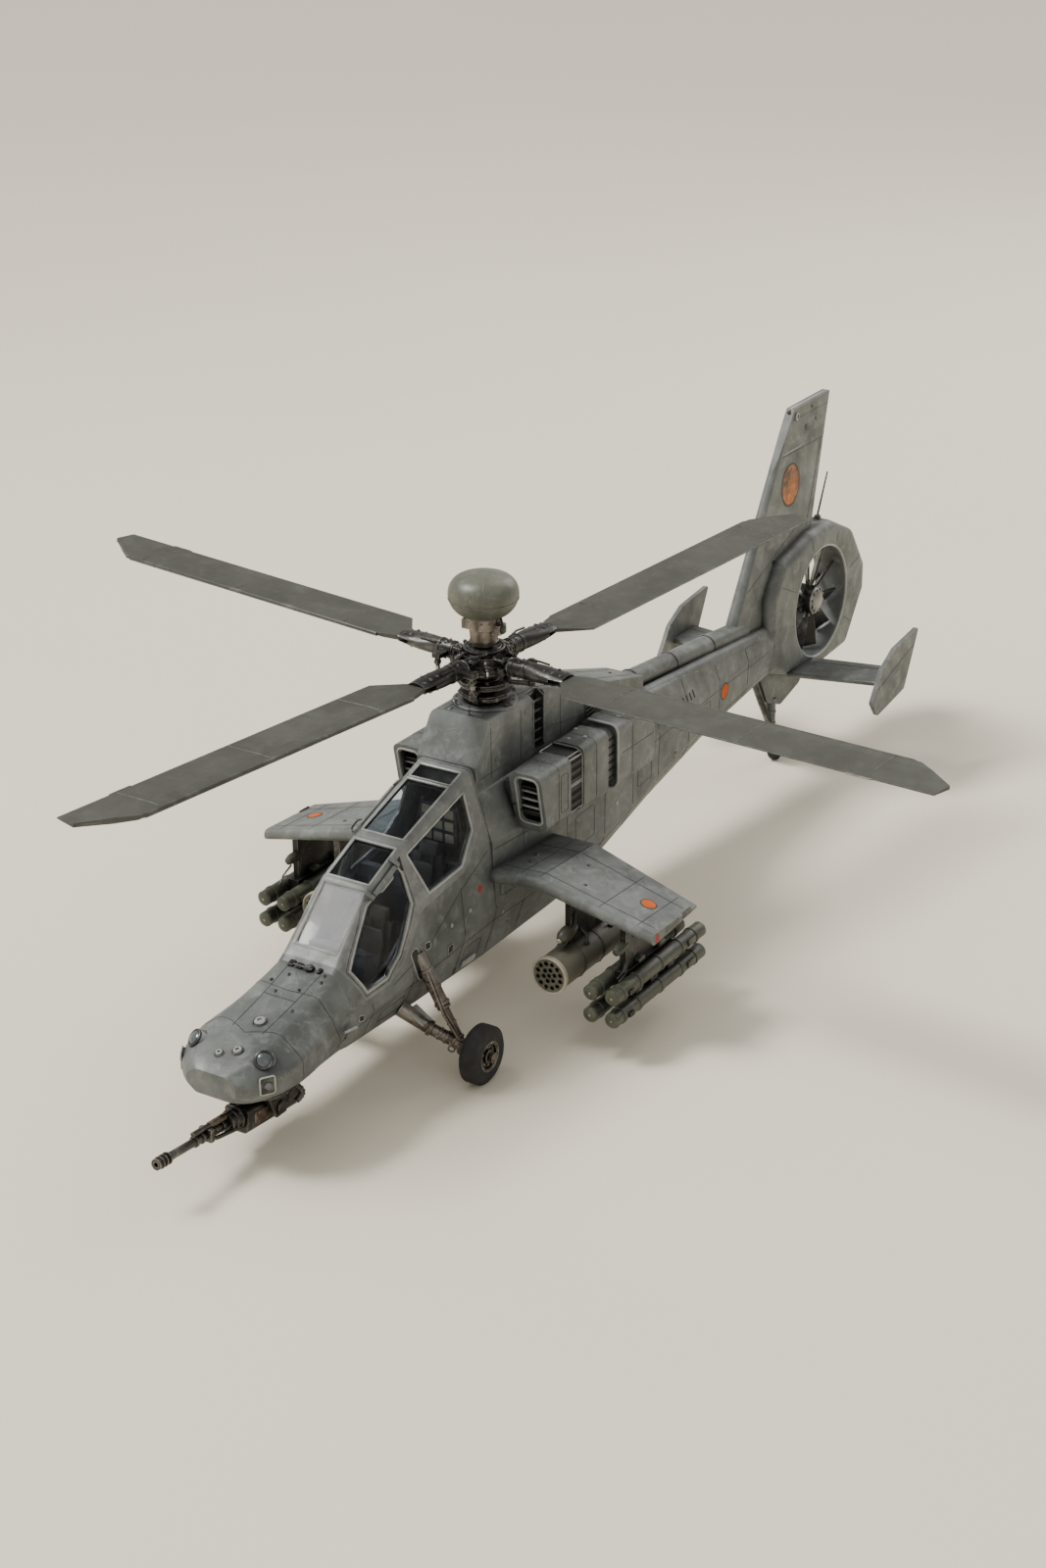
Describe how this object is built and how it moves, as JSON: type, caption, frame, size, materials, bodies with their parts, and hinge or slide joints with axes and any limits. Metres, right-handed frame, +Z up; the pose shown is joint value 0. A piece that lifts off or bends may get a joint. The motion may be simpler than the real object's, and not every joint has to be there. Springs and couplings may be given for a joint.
{
  "type": "helicopter scale model",
  "caption": "Display model of a tandem-seat attack helicopter with turning rotor, shrouded tail fan, stub wings with stores, gun turret, opening doors and rolling gear.",
  "frame": {"origin": "on the ground under the middle of the model's bounding box, between its wheels", "axes": "+X forward to the nose, +Y to port, +Z up"},
  "size_m": [0.4772, 0.3666, 0.1523],
  "materials": {
    "airframe_paint": "weathered satin grey",
    "frame_paint": "satin light grey",
    "canopy_glass": "clear",
    "cockpit_dark": "matt",
    "seat_cloth": "matt",
    "radome_paint": "satin olive grey",
    "dark_metal": "burnished dark",
    "bright_metal": "worn",
    "blade_paint": "matt olive grey",
    "grille_dark": "matt",
    "gun_metal": "worn",
    "pod_paint": "satin khaki",
    "missile_paint": "matt dark olive",
    "tyre": "matt",
    "sensor_glass": "gloss",
    "fastener_steel": "plain"
  },
  "bodies": {
    "airframe": {"antennas": "dark_metal", "belly_screws": "fastener_steel", "canopy_frame": "frame_paint", "cockpit_tub": "cockpit_dark", "crew_seats": "seat_cloth", "end_plates": "airframe_paint", "engine_grilles": "grille_dark", "fan_shroud": "airframe_paint", "fan_stator": "dark_metal", "fuselage_left": "airframe_paint", "fuselage_right": "airframe_paint", "gear_legs": "bright_metal", "main_gearbox": "dark_metal", "mast_pylon": "airframe_paint", "missile_tubes": "missile_paint", "nacelle_left": "airframe_paint", "nacelle_right": "airframe_paint", "nose_sensors": "sensor_glass", "nose_shell": "airframe_paint", "rocket_pods": "pod_paint", "side_panes": "canopy_glass", "sight_radome": "radome_paint", "spine_tubes": "airframe_paint", "stand_socket": "fastener_steel", "standpipe": "bright_metal", "store_pylons": "dark_metal", "stub_wing_left": "airframe_paint", "stub_wing_right": "airframe_paint", "tail_boom": "airframe_paint", "tail_fin": "airframe_paint", "tailplane": "airframe_paint", "ventral_fin": "airframe_paint", "windscreen_panes": "canopy_glass"},
    "rotor": {"rotor_mast": "bright_metal", "rotor_hub": "dark_metal"},
    "swash_fixed": {"swashplate_fixed": "dark_metal"},
    "swash_rotating": {"swashplate_rotating": "dark_metal", "pitch_links": "dark_metal"},
    "tail_fan": {"tail_fan": "dark_metal"},
    "turret": {"gun_turret": "gun_metal"},
    "gun": {"gun_receiver": "gun_metal", "gun_barrel": "gun_metal"},
    "door_front": {"door_front": "frame_paint", "door_glass_front": "canopy_glass"},
    "door_rear": {"door_rear": "frame_paint", "door_glass_rear": "canopy_glass"},
    "wheel_left": {"wheel_rim_left": "bright_metal", "main_tyre_left": "tyre"},
    "wheel_right": {"wheel_rim_right": "bright_metal", "main_tyre_right": "tyre"},
    "tail_fork": {"tail_fork": "bright_metal"},
    "tail_wheel": {"tail_wheel": "tyre"},
    "blade_1": {"blade_grip_1": "dark_metal", "rotor_blade_1": "blade_paint"},
    "blade_2": {"blade_grip_2": "dark_metal", "rotor_blade_2": "blade_paint"},
    "blade_3": {"blade_grip_3": "dark_metal", "rotor_blade_3": "blade_paint"},
    "blade_4": {"blade_grip_4": "dark_metal", "rotor_blade_4": "blade_paint"}
  },
  "joints": [
    {"name": "main_rotor_spin", "type": "hinge", "parent": "airframe", "child": "rotor", "pos_m": [0.052, 0, 0.12], "axis": [0, 0, 1], "continuous": true},
    {"name": "blade_pitch_1", "type": "hinge", "parent": "rotor", "child": "blade_1", "pos_m": [0.052, 0, 0.12], "axis": [0.9943, -0.1045, 0.0209], "range_deg": [-8, 12]},
    {"name": "blade_pitch_2", "type": "hinge", "parent": "rotor", "child": "blade_2", "pos_m": [0.052, 0, 0.12], "axis": [0.1045, 0.9943, 0.0209], "range_deg": [-8, 12]},
    {"name": "blade_pitch_3", "type": "hinge", "parent": "rotor", "child": "blade_3", "pos_m": [0.052, 0, 0.12], "axis": [-0.9943, 0.1045, 0.0209], "range_deg": [-8, 12]},
    {"name": "blade_pitch_4", "type": "hinge", "parent": "rotor", "child": "blade_4", "pos_m": [0.052, 0, 0.12], "axis": [-0.1045, -0.9943, 0.0209], "range_deg": [-8, 12]},
    {"name": "swash_lift_rotating", "type": "slide", "parent": "rotor", "child": "swash_rotating", "axis": [0, 0, 1], "range_m": [-0.00098, 0.00147]},
    {"name": "swash_lift_fixed", "type": "slide", "parent": "airframe", "child": "swash_fixed", "axis": [0, 0, 1], "range_m": [-0.00098, 0.00147]},
    {"name": "tail_fan_spin", "type": "hinge", "parent": "airframe", "child": "tail_fan", "pos_m": [-0.1955, 0, 0.065], "axis": [0, 1, 0], "continuous": true},
    {"name": "gun_traverse", "type": "hinge", "parent": "airframe", "child": "turret", "pos_m": [0.185, 0, 0.013], "axis": [0, 0, 1], "range_deg": [-100, 100]},
    {"name": "gun_elevation", "type": "hinge", "parent": "turret", "child": "gun", "pos_m": [0.185, 0, 0.013], "axis": [0, -1, 0], "range_deg": [-12, 5]},
    {"name": "door_front_hinge", "type": "hinge", "parent": "airframe", "child": "door_front", "pos_m": [0.138, 0.01112, 0.06775], "axis": [0.917, -0.0071, -0.3989], "range_deg": [0, 65]},
    {"name": "door_rear_hinge", "type": "hinge", "parent": "airframe", "child": "door_rear", "pos_m": [0.1154, -0.0114, 0.07705], "axis": [-0.9587, -0.0231, 0.2834], "range_deg": [0, 65]},
    {"name": "wheel_left_spin", "type": "hinge", "parent": "airframe", "child": "wheel_left", "pos_m": [0.1195, 0.0407, 0.01025], "axis": [0, 1, 0], "continuous": true},
    {"name": "wheel_right_spin", "type": "hinge", "parent": "airframe", "child": "wheel_right", "pos_m": [0.1195, -0.0407, 0.01025], "axis": [0, 1, 0], "continuous": true},
    {"name": "tail_swivel", "type": "hinge", "parent": "airframe", "child": "tail_fork", "pos_m": [-0.166, 0, 0.012], "axis": [0, 0, 1], "continuous": true},
    {"name": "tail_wheel_spin", "type": "hinge", "parent": "tail_fork", "child": "tail_wheel", "pos_m": [-0.172, 0, 0.005], "axis": [0, 1, 0], "continuous": true}
  ],
  "couplings": [
    {"joint": "swash_lift_rotating", "follows": "swash_lift_fixed", "ratio": 1},
    {"joint": "blade_pitch_1", "follows": "swash_lift_fixed", "rad_per_m": 142.86},
    {"joint": "blade_pitch_2", "follows": "swash_lift_fixed", "rad_per_m": 142.86},
    {"joint": "blade_pitch_3", "follows": "swash_lift_fixed", "rad_per_m": 142.86},
    {"joint": "blade_pitch_4", "follows": "swash_lift_fixed", "rad_per_m": 142.86}
  ]
}
